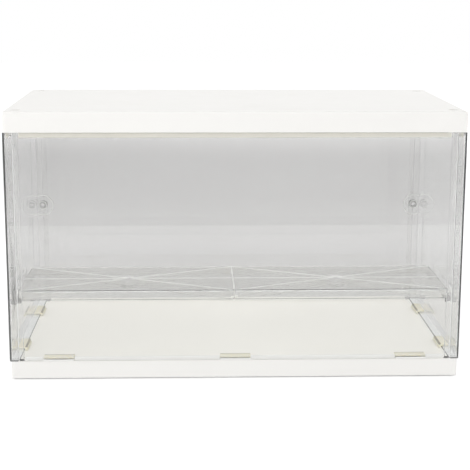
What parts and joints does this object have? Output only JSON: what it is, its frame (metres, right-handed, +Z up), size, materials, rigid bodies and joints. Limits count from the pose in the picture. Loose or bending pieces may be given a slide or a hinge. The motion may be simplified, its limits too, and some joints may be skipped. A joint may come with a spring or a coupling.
{
  "type": "figurine display case",
  "caption": "Rectangular clear-walled display case with a white base and lift-off white cap, a pull-off front pane and a ribbed clear step shelf for figurines.",
  "frame": {"origin": "on the ground, under the middle of the case", "axes": "+X to the right along the width, +Y from the front pane towards the back, +Z up"},
  "size_m": [0.4, 0.213, 0.238],
  "materials": {
    "base_white": "satin moulded white plastic",
    "cap_white": "satin moulded white plastic",
    "clear_wall": "clear moulded polystyrene, faint grey tint",
    "clear_shelf": "clear moulded polystyrene",
    "clip_ivory": "natural nylon",
    "foot_rubber": "matte grey rubber"
  },
  "bodies": {
    "case_body": {"base_tray": "base_white", "left_panel": "clear_wall", "right_panel": "clear_wall", "back_panel": "clear_wall", "front_clip_left": "clip_ivory", "front_clip_middle": "clip_ivory", "front_clip_right": "clip_ivory", "back_button_left": "clear_wall", "back_button_right": "clear_wall", "left_clip_front": "clip_ivory", "left_clip_back": "clip_ivory", "right_clip_front": "clip_ivory", "right_clip_back": "clip_ivory", "foot_front_left": "foot_rubber", "foot_front_right": "foot_rubber", "foot_back_left": "foot_rubber", "foot_back_right": "foot_rubber"},
    "cap_body": {"top_cap": "cap_white"},
    "front_body": {"front_panel": "clear_wall"},
    "shelf_body": {"shelf": "clear_shelf"}
  },
  "joints": [
    {"name": "cap_lift", "type": "slide", "parent": "case_body", "child": "cap_body", "axis": [0, 0, 1], "range_m": [0, 0.12]},
    {"name": "front_pull", "type": "slide", "parent": "case_body", "child": "front_body", "axis": [0, -1, 0], "range_m": [0, 0.1]},
    {"name": "shelf_lift", "type": "slide", "parent": "case_body", "child": "shelf_body", "axis": [0, 0, 1], "range_m": [0, 0.12]}
  ]
}
